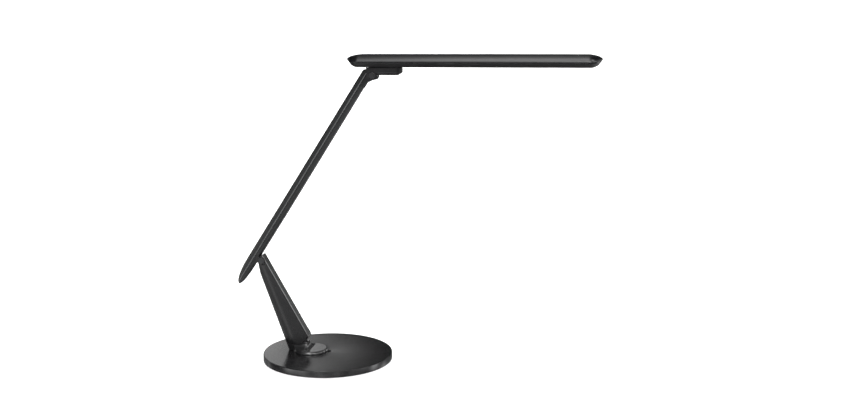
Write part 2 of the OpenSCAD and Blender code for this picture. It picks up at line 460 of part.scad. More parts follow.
base_cover();
base_weight();
base_plate();
base_pad();
base_screws();
dc_socket();
base_lead();
swivel_washer();
swivel_spring();
turntable();
swivel_plate();
swivel_axle();
swivel_nut();
foot_lug();
foot_lug_screws();
turntable_lead();
stem_housing();
stem_cover();
stem_plate_front();
stem_plate_rear();
elbow_tongue();
stem_bolts();
foot_pin();
foot_nut();
foot_washers();
elbow_washers();
stem_lead();
arm_top_shell();
arm_bottom_shell();
arm_core();
elbow_bracket();
elbow_pin();
elbow_nut();
head_lug();
arm_screws();
arm_lead();
head_yoke();
yoke_cover();
head_pin();
head_nut();
head_washers();
head_spring();
yoke_lead();
head_axle();
head_axle_nut();
head_top_shell();
head_bottom_frame();
diffuser();
light_guide();
reflector();
led_strips();
heat_spreader();
touch_board();
head_screws();
head_lead();
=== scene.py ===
"""Looks of the folding desk lamp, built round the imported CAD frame. Millimetres inside, metres in Blender."""
import json
import math

import bpy
import bmesh
import numpy as np
from mathutils import Matrix, Vector


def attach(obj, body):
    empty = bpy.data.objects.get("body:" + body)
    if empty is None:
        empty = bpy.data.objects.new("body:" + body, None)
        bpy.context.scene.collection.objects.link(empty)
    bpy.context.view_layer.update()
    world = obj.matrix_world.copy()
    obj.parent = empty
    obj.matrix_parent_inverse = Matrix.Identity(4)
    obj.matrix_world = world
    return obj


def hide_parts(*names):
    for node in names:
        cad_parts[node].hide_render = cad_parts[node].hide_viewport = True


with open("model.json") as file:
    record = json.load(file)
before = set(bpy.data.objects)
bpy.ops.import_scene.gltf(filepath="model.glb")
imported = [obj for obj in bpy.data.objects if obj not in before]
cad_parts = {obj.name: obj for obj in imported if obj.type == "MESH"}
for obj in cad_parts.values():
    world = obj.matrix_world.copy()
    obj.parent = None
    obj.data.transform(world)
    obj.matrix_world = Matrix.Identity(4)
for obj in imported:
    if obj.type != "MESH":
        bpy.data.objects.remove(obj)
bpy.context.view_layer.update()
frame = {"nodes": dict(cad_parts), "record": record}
NODES = frame["nodes"]
MM = 0.001

# ------------------------------------------------------------------ sizes
SL = math.radians(26.53)
AL = math.radians(32.4)
F = np.array([-44.5, 34.3])
E = F + 132.1 * np.array([-math.sin(SL), math.cos(SL)])
H = E + 338.5 * np.array([math.sin(AL), math.cos(AL)]) - 3.6 * np.array([math.cos(AL), -math.sin(AL)])
SX = -27.5
VX = H[0] + 30.2
BASE_Z = 11.3
DISC_B, DISC_Z = 11.7, 15.9
HEAD_Z = H[1] + 12.3
HX0 = H[0] - 38.3
HX1 = HX0 + 375.0
STEM_L = 132.1
HW = 8.5
SRF, SRE, SLF, SLE = 14.9, 7.03, 25.09, 10.7
RA = math.asin((SRF - SRE) / STEM_L)
LA = math.asin((SLF - SLE) / STEM_L)


def xr(w):
    return (SRF - w * math.sin(RA)) / math.cos(RA)


def xl(w):
    return -(SLF - w * math.sin(LA)) / math.cos(LA)


# --------------------------------------------------- distance fields, in mm
def rmax(a, b, r):
    """Meet of two solids, with a round edge of radius r."""
    return np.minimum(np.maximum(a, b) + r, 0) + np.sqrt(np.maximum(a + r, 0) ** 2 + np.maximum(b + r, 0) ** 2) - r


def rmin(a, b, r):
    """Join of two solids, with a fillet of radius r."""
    return -rmax(-a, -b, r)


def cut(a, b, r=0.0):
    return rmax(a, -b, r) if r else np.maximum(a, -b)


def poly(px, py, V):
    """Exact distance to a closed outline."""
    V = np.asarray(V, float)
    n = len(V)
    px, py = np.broadcast_arrays(px, py)
    d = np.full(px.shape, 1e18)
    s = np.ones(px.shape)
    j = n - 1
    for i in range(n):
        ex, ey = V[j][0] - V[i][0], V[j][1] - V[i][1]
        wx, wy = px - V[i][0], py - V[i][1]
        t = np.clip((wx * ex + wy * ey) / (ex * ex + ey * ey), 0, 1)
        bx, by = wx - ex * t, wy - ey * t
        d = np.minimum(d, bx * bx + by * by)
        c1 = py >= V[i][1]
        c2 = py < V[j][1]
        c3 = ex * wy > ey * wx
        flip = (c1 & c2 & c3) | (~c1 & ~c2 & ~c3)
        s = np.where(flip, -s, s)
        j = i
    return s * np.sqrt(d)


def rrect2(px, py, hx, hy, r):
    qx, qy = np.abs(px) - hx + r, np.abs(py) - hy + r
    return np.sqrt(np.maximum(qx, 0) ** 2 + np.maximum(qy, 0) ** 2) + np.minimum(np.maximum(qx, qy), 0) - r


def band(v, lo, hi):
    return np.abs(v - (lo + hi) / 2) - (hi - lo) / 2


def arc(r, a0, a1, n, c=(0, 0)):
    return [(c[0] + r * math.cos(math.radians(a0 + (a1 - a0) * i / n)), c[1] + r * math.sin(math.radians(a0 + (a1 - a0) * i / n))) for i in range(n + 1)]


def axis(lo, hi, coarse, *fines):
    """Grid lines from lo to hi: coarse steps, with finer steps inside each (a, b, step)."""
    v = [lo]
    while v[-1] < hi:
        x = v[-1]
        h = coarse
        for a, b, s in fines:
            if a - 1e-6 <= x < b:
                h = min(h, s)
            elif x < a < x + h:
                h = max(a - x, 0.05)
        v.append(x + h)
    return np.array(v)


def grad(f, p, eps=0.01):
    g = np.empty_like(p)
    for k in range(3):
        d = np.zeros(3)
        d[k] = eps
        a, b = p + d, p - d
        g[:, k] = (f(a[:, 0], a[:, 1], a[:, 2]) - f(b[:, 0], b[:, 1], b[:, 2])) / (2 * eps)
    return g


def nets(f, xs, ys, zs, steps=4):
    """Closed quad mesh of f = 0 on a grid of lines, with its points moved onto the surface."""
    S = np.array(np.broadcast_to(f(xs[:, None, None], ys[None, :, None], zs[None, None, :]), (len(xs), len(ys), len(zs))), float)
    ins = S < 0
    nx, ny, nz = ins.shape
    cnt = np.zeros((nx - 1, ny - 1, nz - 1), np.int8)
    for a in (0, 1):
        for b in (0, 1):
            for c in (0, 1):
                cnt += ins[a:nx - 1 + a, b:ny - 1 + b, c:nz - 1 + c]
    act = (cnt > 0) & (cnt < 8)
    I = np.argwhere(act)
    idx = np.full(act.shape, -1, np.int64)
    idx[act] = np.arange(len(I))
    acc = np.zeros((len(I), 3))
    num = np.zeros(len(I))
    G = (xs, ys, zs)
    corners = [(a, b, c) for a in (0, 1) for b in (0, 1) for c in (0, 1)]
    for u in corners:
        for k in range(3):
            if u[k]:
                continue
            v = list(u)
            v[k] = 1
            ia, ib = I + np.array(u), I + np.array(v)
            sa = S[ia[:, 0], ia[:, 1], ia[:, 2]]
            sb = S[ib[:, 0], ib[:, 1], ib[:, 2]]
            m = (sa < 0) != (sb < 0)
            t = np.where(m, sa / np.where(m, sa - sb, 1), 0)
            P = np.stack([G[q][ia[:, q]] for q in range(3)], 1)
            P[:, k] += t * (G[k][ib[:, k]] - G[k][ia[:, k]])
            acc += P * m[:, None]
            num += m
    p = acc / num[:, None]
    cell = np.stack([np.diff(G[q])[I[:, q]] for q in range(3)], 1)
    centre = np.stack([G[q][I[:, q]] for q in range(3)], 1) + cell / 2
    for _ in range(steps):
        g = grad(f, p)
        n2 = np.maximum((g * g).sum(1), 0.05)
        s = f(p[:, 0], p[:, 1], p[:, 2])
        step = np.clip(-s / n2, -0.4, 0.4)[:, None] * g
        p = p + step
        p = np.clip(p, centre - 0.75 * cell, centre + 0.75 * cell)
    quads = []
    for k in range(3):
        sl0, sl1 = [slice(1, -1)] * 3, [slice(1, -1)] * 3
        sl0[k], sl1[k] = slice(0, -1), slice(1, None)
        A, B = ins[tuple(sl0)], ins[tuple(sl1)]
        for sign, m in ((1, A & ~B), (-1, ~A & B)):
            q = np.argwhere(m)
            off = np.ones(3, int)
            off[k] = 0
            q = q + off
            u, v = (k + 1) % 3, (k + 2) % 3
            ring = []
            for du, dv in ((-1, -1), (0, -1), (0, 0), (-1, 0)):
                w = q.copy()
                w[:, u] += du
                w[:, v] += dv
                ring.append(idx[w[:, 0], w[:, 1], w[:, 2]])
            ring = np.stack(ring, 1)
            quads.append(ring if sign > 0 else ring[:, ::-1])
    return p, np.concatenate(quads), f


def to_object(name, p, quads, place=None, normals=None, sharp=None):
    """Blender mesh from points in mm. place maps local mm to frame mm."""
    q = place(p) if place else p
    me = bpy.data.meshes.new(name)
    me.from_pydata((q * MM).tolist(), [], quads.tolist())
    me.validate()
    me.polygons.foreach_set("use_smooth", [True] * len(me.polygons))
    if normals is not None and len(me.vertices) == len(normals):
        me.normals_split_custom_set_from_vertices(normals.tolist())
    me.update()
    ob = bpy.data.objects.new(name, me)
    bpy.context.scene.collection.objects.link(ob)
    return ob


def solid(name, f, xs, ys, zs, place=None, turn=None):
    p, quads, _ = nets(f, xs, ys, zs)
    n = grad(f, p, 0.03)
    n /= np.maximum(np.linalg.norm(n, axis=1), 1e-9)[:, None]
    if turn is not None:
        n = turn(n)
    return to_object(name, p, quads, place, n)


def stem_place(p):
    c, s = math.cos(SL), math.sin(SL)
    return np.stack([F[0] + p[:, 0] * c - p[:, 2] * s, p[:, 1], F[1] + p[:, 0] * s + p[:, 2] * c], 1)


def stem_turn(n):
    c, s = math.cos(SL), math.sin(SL)
    return np.stack([n[:, 0] * c - n[:, 2] * s, n[:, 1], n[:, 0] * s + n[:, 2] * c], 1)


def arm_place(p):
    c, s = math.cos(AL), math.sin(AL)
    return np.stack([E[0] + p[:, 0] * c + p[:, 2] * s, p[:, 1], E[1] - p[:, 0] * s + p[:, 2] * c], 1)


def arm_turn(n):
    c, s = math.cos(AL), math.sin(AL)
    return np.stack([n[:, 0] * c + n[:, 2] * s, n[:, 1], -n[:, 0] * s + n[:, 2] * c], 1)


def lathe(name, profile, centre, seg=256, a0=0.0):
    """Closed profile of (radius, height) turned about a vertical axis."""
    n = len(profile)
    p, q = [], []
    for i in range(seg):
        t = a0 + 2 * math.pi * i / seg
        for r, z in profile:
            p.append((centre[0] + r * math.cos(t), centre[1] + r * math.sin(t), z))
    for i in range(seg):
        for j in range(n):
            a, b = i * n + j, i * n + (j + 1) % n
            c, d = ((i + 1) % seg) * n + (j + 1) % n, ((i + 1) % seg) * n + j
            q.append((a, b, c, d))
    return to_object(name, np.array(p), np.array(q))


def round_corner(pts, radii, n=6):
    """Rounds the corners of a closed profile."""
    out = []
    m = len(pts)
    for i in range(m):
        r = radii[i]
        p = np.array(pts[i], float)
        if not r:
            out.append(tuple(p))
            continue
        a = np.array(pts[i - 1], float) - p
        b = np.array(pts[(i + 1) % m], float) - p
        a /= np.linalg.norm(a)
        b /= np.linalg.norm(b)
        half = math.acos(max(-1, min(1, a @ b))) / 2
        t = r / math.tan(half)
        c = p + (a + b) / np.linalg.norm(a + b) * r / math.sin(half)
        s, e = p + a * t, p + b * t
        a0, a1 = math.atan2(*(s - c)[::-1]), math.atan2(*(e - c)[::-1])
        d = (a1 - a0 + math.pi) % (2 * math.pi) - math.pi
        for k in range(n + 1):
            x = a0 + d * k / n
            out.append((c[0] + r * math.cos(x), c[1] + r * math.sin(x)))
    return out


# --------------------------------------------------------------- materials
def new_mat(name):
    m = bpy.data.materials.new(name)
    m.use_nodes = True
    nt = m.node_tree
    for n in list(nt.nodes):
        nt.nodes.remove(n)
    out = nt.nodes.new("ShaderNodeOutputMaterial")
    b = nt.nodes.new("ShaderNodeBsdfPrincipled")
    nt.links.new(b.outputs[0], out.inputs[0])
    return m, nt, b


def ramp(nt, fac, stops):
    r = nt.nodes.new("ShaderNodeValToRGB")
    while len(r.color_ramp.elements) < len(stops):
        r.color_ramp.elements.new(0.5)
    for e, (pos, col) in zip(r.color_ramp.elements, stops):
        e.position = pos
        e.color = (*col, 1) if len(col) == 3 else col
    nt.links.new(fac, r.inputs[0])
    return r.outputs[0]


def noise(nt, scale, detail=3, rough=0.5, stretch=None):
    tc = nt.nodes.new("ShaderNodeTexCoord")
    n = nt.nodes.new("ShaderNodeTexNoise")
    n.inputs["Scale"].default_value = scale
    n.inputs["Detail"].default_value = detail
    n.inputs["Roughness"].default_value = rough
    if stretch:
        mp = nt.nodes.new("ShaderNodeMapping")
        mp.inputs["Scale"].default_value = stretch
        nt.links.new(tc.outputs["Object"], mp.inputs[0])
        nt.links.new(mp.outputs[0], n.inputs["Vector"])
    else:
        nt.links.new(tc.outputs["Object"], n.inputs["Vector"])
    return n.outputs["Fac"]


def bump(nt, b, height, strength, dist):
    n = nt.nodes.new("ShaderNodeBump")
    n.inputs["Strength"].default_value = strength
    n.inputs["Distance"].default_value = dist
    nt.links.new(height, n.inputs["Height"])
    nt.links.new(n.outputs[0], b.inputs["Normal"])


def surface(name, lo, hi, r0, r1, scale=600, grain=1800, depth=0.00002, metal=0.0, ior=1.5, coat=0.0, stretch=None, strength=0.3, spec=None):
    """Two close colours in slow cloudy patches, uneven gloss, and a fine grain."""
    m, nt, b = new_mat(name)
    slow = noise(nt, scale * 0.1, 3, 0.55)
    fine = noise(nt, grain, 2, 0.6, stretch)
    nt.links.new(ramp(nt, slow, [(0.3, lo), (0.7, hi)]), b.inputs["Base Color"])
    mid = noise(nt, scale, 4, 0.6, stretch)
    nt.links.new(ramp(nt, mid, [(0.3, (r0,) * 3), (0.7, (r1,) * 3)]), b.inputs["Roughness"])
    bump(nt, b, fine, strength, depth)
    b.inputs["Metallic"].default_value = metal
    b.inputs["IOR"].default_value = ior
    if coat:
        b.inputs["Coat Weight"].default_value = coat
        b.inputs["Coat Roughness"].default_value = 0.08
    if spec is not None:
        b.inputs["Specular IOR Level"].default_value = spec
    return m


M = {}
M["black_shell"] = surface("satin_black", (0.006, 0.006, 0.0066), (0.009, 0.009, 0.0096), 0.20, 0.25, grain=2600, depth=0.00001, strength=0.2)
M["base_black"] = surface("base_black", (0.012, 0.012, 0.0126), (0.015, 0.015, 0.0156), 0.19, 0.24, grain=2600, depth=0.00001, strength=0.2)
# the next two blacks are lit and shaded copies of one plastic: the lighter one is painted light on the disc, the darker
# one is painted shade on the boss
M["turntable_lit_black"] = surface("turntable_lit_black", (0.03, 0.03, 0.0308), (0.036, 0.036, 0.0368), 0.17, 0.22, grain=2600, depth=0.00001, strength=0.2, coat=1.0, spec=0.45)
M["foot_shaded_black"] = surface("foot_shaded_black", (0.015, 0.015, 0.0156), (0.019, 0.019, 0.0196), 0.20, 0.25, grain=2600, depth=0.00001, strength=0.2, spec=0.25)
M["frame_black"] = surface("frame_black", (0.006, 0.006, 0.0062), (0.01, 0.01, 0.0104), 0.38, 0.46, grain=3000, depth=0.00002, spec=0.27)
M["steel"] = surface("zinc_steel", (0.50, 0.51, 0.53), (0.58, 0.59, 0.61), 0.26, 0.40, grain=1500, metal=1.0, stretch=(1, 0.08, 1))
M["fastener"] = surface("bright_zinc", (0.60, 0.61, 0.63), (0.68, 0.69, 0.70), 0.16, 0.28, grain=2500, metal=1.0)
M["dark_fastener"] = surface("black_steel", (0.010, 0.010, 0.011), (0.018, 0.018, 0.019), 0.26, 0.36, grain=1500)
M["alloy"] = surface("aluminium", (0.74, 0.75, 0.76), (0.80, 0.81, 0.82), 0.28, 0.42, grain=1300, metal=1.0, stretch=(0.06, 1, 1))
M["grip_pad"] = surface("foam_rubber", (0.018, 0.018, 0.018), (0.03, 0.03, 0.03), 0.8, 0.95, grain=900, depth=0.0002, strength=0.8)
M["inlet"] = surface("inlet_plastic", (0.008, 0.008, 0.008), (0.012, 0.012, 0.012), 0.3, 0.4)
M["wire"] = surface("lead_jacket", (0.012, 0.012, 0.013), (0.02, 0.02, 0.022), 0.45, 0.6, grain=1500, depth=0.00005)
M["washer"] = surface("nylon", (0.66, 0.66, 0.62), (0.72, 0.72, 0.68), 0.4, 0.55, grain=1200, depth=0.00004)
M["diffuser"] = surface("milky_acrylic", (0.80, 0.80, 0.77), (0.84, 0.84, 0.81), 0.34, 0.42, grain=1600, depth=0.00004)
M["light_guide"] = surface("clear_guide", (0.80, 0.84, 0.85), (0.86, 0.89, 0.90), 0.08, 0.16, grain=900)
M["reflector"] = surface("white_film", (0.84, 0.84, 0.83), (0.88, 0.88, 0.87), 0.5, 0.6)
M["led_strip"] = surface("led_strip", (0.80, 0.72, 0.40), (0.86, 0.82, 0.62), 0.4, 0.6, scale=900)
M["board"] = surface("green_board", (0.01, 0.09, 0.035), (0.02, 0.13, 0.05), 0.3, 0.45, scale=900)


def painted_highlight_line(name, p0, p1, half, highlight_tone):
    """Black shell with a painted highlight: a thin pale line of colour along the straight joint from p0 to p1
    (millimetres, seen from the side), standing in for light caught by the edge.
    """
    m = surface(name, (0.006, 0.006, 0.0066), (0.009, 0.009, 0.0096), 0.20, 0.25, grain=2600, depth=0.00001, strength=0.2)
    nt = m.node_tree
    b = next(n for n in nt.nodes if n.type == "BSDF_PRINCIPLED")
    t = (p1 - p0) / np.linalg.norm(p1 - p0)
    nx, nz = float(t[2]), float(-t[0])
    c = (nx * float(p0[0]) + nz * float(p0[2])) * MM
    tc = nt.nodes.new("ShaderNodeTexCoord")
    dot = nt.nodes.new("ShaderNodeVectorMath")
    dot.operation = "DOT_PRODUCT"
    dot.inputs[1].default_value = (nx, 0, nz)
    nt.links.new(tc.outputs["Object"], dot.inputs[0])
    sub = nt.nodes.new("ShaderNodeMath")
    sub.operation = "SUBTRACT"
    sub.inputs[1].default_value = c
    nt.links.new(dot.outputs["Value"], sub.inputs[0])
    ab = nt.nodes.new("ShaderNodeMath")
    ab.operation = "ABSOLUTE"
    nt.links.new(sub.outputs[0], ab.inputs[0])
    highlight_mask = nt.nodes.new("ShaderNodeMapRange")
    highlight_mask.inputs["From Min"].default_value = half * 0.7 * MM
    highlight_mask.inputs["From Max"].default_value = half * 1.3 * MM
    highlight_mask.inputs["To Min"].default_value = 1.0
    highlight_mask.inputs["To Max"].default_value = 0.0
    nt.links.new(ab.outputs[0], highlight_mask.inputs["Value"])
    link = b.inputs["Base Color"].links[0]
    src = link.from_socket
    highlight_mix = nt.nodes.new("ShaderNodeMix")
    highlight_mix.data_type = "RGBA"
    nt.links.new(highlight_mask.outputs["Result"], highlight_mix.inputs[0])
    nt.links.new(src, highlight_mix.inputs[6])
    highlight_mix.inputs[7].default_value = (highlight_tone, highlight_tone, highlight_tone * 1.01, 1)
    nt.links.new(highlight_mix.outputs[2], b.inputs["Base Color"])
    return m


def dress(ob, mat):
    ob.data.materials.clear()
    ob.data.materials.append(mat)


for row in frame["record"]["subparts"]:
    ob = NODES[row["node"]]
    ob.data.materials.clear()
    ob.data.materials.append(M[row["material_slot"]])


def piece(ob, body, mat, slot, *nodes):
    dress(ob, M[mat])
    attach(ob, body)
    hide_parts(*nodes)
    return ob


def bevel(ob, width, seg=3, angle=30):
    b = ob.modifiers.new("edge", "BEVEL")
    b.width = width * MM
    b.segments = seg
    b.limit_method = "ANGLE"
    b.angle_limit = math.radians(angle)
    b.harden_normals = False
    return ob


# -------------------------------------------------------------------- base
prof = round_corner(
    [(5.05, 9.1), (97.8, 9.1), (97.8, 0.9), (99.98, 0.9), (99.98, BASE_Z), (5.05, BASE_Z)],
    [0.2, 1.5, 0, 0.7, 0.9, 0.25], 6)
base = lathe("base_cover_skin", prof, (0, 0), 320)
# hole for the inlet, at the back
hole = bpy.data.meshes.new("cutter")
bm = bmesh.new()
bmesh.ops.create_cone(bm, cap_ends=True, segments=48, radius1=2.3 * MM, radius2=2.3 * MM, depth=0.012)
bm.to_mesh(hole)
bm.free()
tool = bpy.data.objects.new("cutter", hole)
bpy.context.scene.collection.objects.link(tool)
tool.rotation_euler = (math.pi / 2, 0, 0)
tool.location = (0, 0.099, 0.0056)
bo = base.modifiers.new("hole", "BOOLEAN")
bo.object = tool
bo.operation = "DIFFERENCE"
bo.solver = "EXACT"
bpy.context.view_layer.update()
dg = bpy.context.evaluated_depsgraph_get()
cut_mesh = bpy.data.meshes.new_from_object(base.evaluated_get(dg))
base.modifiers.clear()
base.data = cut_mesh
bpy.data.objects.remove(tool)
for pl in base.data.polygons:
    pl.use_smooth = True
piece(base, "base", "base_black", "black_shell", "base_cover")

# --------------------------------------------------------------- turntable
LAW = SL - LA


def xlw(z):
    return F[0] - SLF / math.cos(LAW) - (z - F[1]) * math.tan(LAW)


NOSE = 20.0


def nose(s, y, g=0.0, run=NOSE):
    """Depth limit of a section whose left side is a long round nose; s is the distance in from the left face."""
    a, b = run - g, HW - g
    t = np.minimum(s - g - a, 0) / a
    return (np.sqrt(t * t + (y / b) ** 2) - 1) * b


BOSS_Z = F[1] - 12 - 0.3
FLZ = DISC_Z + 8.5
boss_out = [(xlw(11.7), 11.7), (-30.9, 11.7), (-30.9, 25.9), (-44.5, 25.9), (-44.5, BOSS_Z), (xlw(BOSS_Z), BOSS_Z)]


def f_turntable(x, y, z):
    rad = np.hypot(x - SX, y)
    disc = np.maximum(rmax(rad - 27.5, z - DISC_Z, 3.4), np.maximum(rad - 27.5, DISC_B - z) )
    # boss: a slice the depth of the stem, with a cove at its right foot
    o = np.maximum(poly(x, z, boss_out), 12.3 - np.hypot(x - F[0], z - F[1]))
    s = (x - xlw(0) + z * math.tan(LAW)) * math.cos(LAW)
    crisp = 0.35 + 0.85 * np.clip((np.hypot(x - F[0], z - F[1]) - 13.2) / 2, 0, 1)
    boss = rmax(rmax(o, np.abs(y) - HW, crisp), nose(s, y), 0.3)
    # flare: the sides of the boss sweep out to the rim of the disc
    t = np.clip((FLZ - z) / 8.5, 0, 1)
    wide = HW + (25.5 - HW) * (1 - np.sqrt(1 - t * t + 1e-9))
    slope = np.clip(8.5 / (25.5 - HW) * np.sqrt(1 - t * t + 1e-9) / (t + 0.02), 0.3, 1)
    side = (np.abs(y) - wide) * np.minimum(slope, 1)
    oc = np.minimum(o, np.maximum(np.maximum(np.maximum(-31.4 - x, x + 24.4), 12.2 - z), np.maximum(z - 22.4, 6.5 - np.hypot(x + 24.4, z - 22.4))))
    oc = np.maximum(oc, 12.3 - np.hypot(x - F[0], z - F[1]))
    flare = rmax(rmax(oc, side, 1.7), rad - 26.6, 0.5)
    d = np.minimum(np.minimum(disc, boss), np.maximum(flare, z - 25.9))
    # room for the steel plate, the lug and the lead
    d = cut(d, np.maximum(np.hypot(x - SX, y) - 15.2, z - 13.6))
    d = cut(d, np.maximum(np.maximum(band(x, -51.7, SX), np.abs(y) - 7.2), z - 13.6))
    d = cut(d, np.maximum(np.maximum(band(x, F[0] - 7.2, F[0] + 7.2), np.abs(y) - 3.4), 12 - z))
    d = cut(d, np.maximum(np.maximum(np.abs(x + 57) - 1.1, np.abs(y) - 1.1), 13 - z))
    return d


tt = solid("turntable_skin", f_turntable,
           axis(-69.2, 1, 0.45), axis(-28.6, 28.6, 0.55, (-9.6, 9.6, 0.3)), axis(10.9, 27, 0.3))
piece(tt, "turntable", "turntable_lit_black", "black_shell", "turntable")
# the boss and the left part of its flare are as matt as the stem, and take a darker copy of the turntable's black: the
# matt finish is real, the darker colour is painted shade beside the disc's lighter, painted-light top
tt.data.materials.append(M["foot_shaded_black"])
for pl in tt.data.polygons:
    if pl.center.x < (SX - 6.8) * MM and (pl.center.z > (DISC_Z + 0.6) * MM or pl.center.x < (SX - 9) * MM):
        pl.material_index = 1

# -------------------------------------------------------------------- stem
SW = (SLF * math.sin(SL) / math.cos(LA) - 12) / (math.cos(SL) + math.tan(LA) * math.sin(SL))
LIP = (SRF / math.cos(RA)) / (math.cos(SL) - math.sin(SL) * math.tan(RA))
slg = math.degrees(SL)
stem_out = arc(12, -90 - slg, -slg, 24) + [
    ((LIP - 1.6) * math.cos(SL), -(LIP - 1.6) * math.sin(SL)), (xr(-5) - 0.6, -5.2), (xr(-3), -3),
    (xr(STEM_L + 20), STEM_L + 20), (xl(STEM_L + 20), STEM_L + 20), (xl(SW), SW)]
N0 = math.radians(180 - 32.4 - slg)


def stem_top(x, z):
    """What the arm sweeps over the top of the stem."""
    dz = z - STEM_L
    d = 6.25 - np.hypot(x, dz)
    for t in range(-10, 39, 4):
        a = N0 + math.radians(t)
        d = np.maximum(d, x * math.cos(a) + dz * math.sin(a) - 5.1)
    return d


def f_stem(x, y, z, edge=1.6):
    o = rmax(poly(x, z, stem_out), stem_top(x, z), 0.35)
    s = (x - xl(0) - z * math.tan(LA)) * math.cos(LA)
    # the round lower end is crisp, so that stem and foot read as one
    edge = 0.35 + (edge - 0.35) * np.clip((z + 1) / 9, 0, 1)
    return rmax(rmax(o, np.abs(y) - HW, edge), nose(s, y, 0.0, NOSE - 0.05 * z), 0.3)


def seam_x(x, z):
    """Positive on the cover's side of the joint between housing and cover."""
    a = (x - (xr(0) - 1.85) + z * math.tan(RA)) * math.cos(RA)
    b = np.minimum(x, z - STEM_L)
    return np.maximum(a, b)


def f_housing(x, y, z):
    d = rmax(f_stem(x, y, z), seam_x(x, z) + 0.06, 0.12)
    s = (x - xl(0) - z * math.tan(LA)) * math.cos(LA)
    hollow = np.maximum(np.maximum(nose(s, y, 1.6, NOSE - 0.05 * z), 1.6 - s), np.maximum(z - (STEM_L - 9.6), np.hypot(x, np.minimum(z, 0)) - 26))
    floor = np.maximum(poly(x, z, stem_out) + 1.6, hollow)
    slot = np.maximum(np.maximum(np.abs(y) - 3.7, hollow), z - 10)
    return cut(cut(d, floor), slot)


def f_cover(x, y, z):
    d = rmax(f_stem(x, y, z), -seam_x(x, z) + 0.06, 0.12)
    return d


sx_axis = axis(-26.5, 16.5, 0.5, (-26.5, -20, 0.4), (3, 16.5, 0.3))
sy_axis = axis(-9.1, 9.1, 0.5, (-9.1, -6.4, 0.25), (6.4, 9.1, 0.25))
housing = solid("stem_housing_skin", f_housing, sx_axis, sy_axis, axis(-13, STEM_L + 10, 2.0, (-13, 4, 0.4), (STEM_L - 12, STEM_L + 12, 0.35)), stem_place, stem_turn)
piece(housing, "stem", "black_shell", "black_shell", "stem_housing")
# the pale line on the stem cover is a painted highlight along the edge of its front face
M["stem_painted_highlight"] = painted_highlight_line("stem_edge_painted_highlight", *stem_place(np.array([[xr(0) - 0.72, 0, 0], [xr(STEM_L) - 0.72, 0, STEM_L]])), 0.5, 0.11)
cover = solid("stem_cover_skin", f_cover, axis(-2, 16.5, 0.3), sy_axis, axis(-9, STEM_L + 13, 2.0, (-9, 2, 0.3), (STEM_L - 8, STEM_L + 13, 0.3)), stem_place, stem_turn)
piece(cover, "stem", "stem_painted_highlight", "black_shell", "stem_cover")

# --------------------------------------------------------------------- arm
AC, AT = -12.9, 7.5
AT1 = AT - 0.45
HLX, HLZ = -3.6, 338.5
SPL = AC - AT + 0.51 * 15
K0 = SPL - AC


def half_t(z):
    return AT - 0.45 * np.clip(z, 0, 338) / 338


tail = [(AC - AT - 2.4, 500), (AC - AT - 2.4, -6), (AC - AT - 0.3, -24), (AC - AT + 0.85, -33), (AC - AT + 2.0, -40), (AC - AT + 3.8, -46.2), (AC - AT + 5.4, -49.6), (AC - AT + 6.9, -51.2),
        (AC + 0.6, -52.5), (AC + 2.4, -52.4), (AC + 3.9, -50.2), (AC + 5.0, -46.6), (AC + 6.1, -40.4), (AC + 7.2, -31.0), (AC + 7.8, -22.3), (AC + AT + 1.7, -8), (AC + AT + 1.7, 500)]
PLUG = [(AC, HLZ - 24), (AC + AT1, HLZ - 24), (AC + AT1, HLZ - 14.5), (HLX + 7.1 * math.cos(math.radians(-62)), HLZ + 7.1 * math.sin(math.radians(-62))), (HLX + 7.1 * math.cos(math.radians(-40)), HLZ + 7.1 * math.sin(math.radians(-40))),
        (HLX + 7.1, HLZ), (HLX + 7.1 * math.cos(math.radians(20)), HLZ + 7.1 * math.sin(math.radians(20))), (AC + AT1, HLZ + 9.5), (AC, HLZ + 9.5)]


def f_arm(x, y, z, g=0.0, hy=8.0, rc=4.4, belly=False):
    t = half_t(z)
    w = np.where(x < AC, t + 0.5, t + 0.4 * np.clip((z - 30) / 60, 0, 1) * np.clip((HLZ - 20 - z) / 20, 0, 1))
    k = (x - AC) / w * AT
    sec = rrect2(k, y, AT - g, hy - g, rc - g)
    if belly:
        # lower half: one long bulge from the joint of the shells to the underside
        a = AT - K0
        u, v = np.maximum(k - K0, 0) / a, np.abs(y) / hy
        sec = ((u ** 3.4 + v ** 3.4 + 1e-9) ** (1 / 3.4) - 1) * hy * 0.9
    o = poly(x, z, tail) + g + np.where(z < -30, 0.27, 0)
    # the tail narrows in depth as well as in width
    pinch = 8.0 - g - 2.6 * np.clip((-18 - z) / 32, 0, 1) ** 1.6
    body = rmax(rmax(sec, o, 1.6), np.abs(y) - pinch, 1.5)
    knob = np.minimum(np.hypot(x - HLX, z - HLZ) - 7.1 + g, poly(x, z, PLUG) + g)
    knob = rmax(knob, np.abs(y) - 8 + g, 0.6)
    d = rmin(body, knob, 0.8)
    up = math.radians(90 + 32.4)
    for a in (up, up + math.radians(7)):
        d = rmax(d, (x - HLX) * math.cos(a) + (z - HLZ) * math.sin(a) - 10.6 + g, 0.5)
    return d


def arm_room(x, y, z):
    return np.maximum(f_arm(x, y, z, 1.6), np.maximum(-42 - z, z - (HLZ - 12)))


def f_arm_top(x, y, z):
    # the upper shell stands a little proud, with a soft lower edge
    return cut(rmax(f_arm(x, y, z, 0, 8.0, 2.6), x - SPL + 0.12, 1.1), arm_room(x, y, z))


def f_arm_bottom(x, y, z):
    d = cut(rmax(f_arm(x, y, z, 0, 7.3, 4.6, True), SPL + 0.12 - x, 0.3), arm_room(x, y, z))
    d = cut(d, np.maximum(-9.1 - x, band(z, -10.2, 4.2)), 0.0)
    d = cut(d, np.maximum(np.maximum(AC - 1 - x, np.abs(y) - 3.15), HLZ - 16 - z))
    return cut(d, np.hypot(x - HLX, z - HLZ) - 2.8)


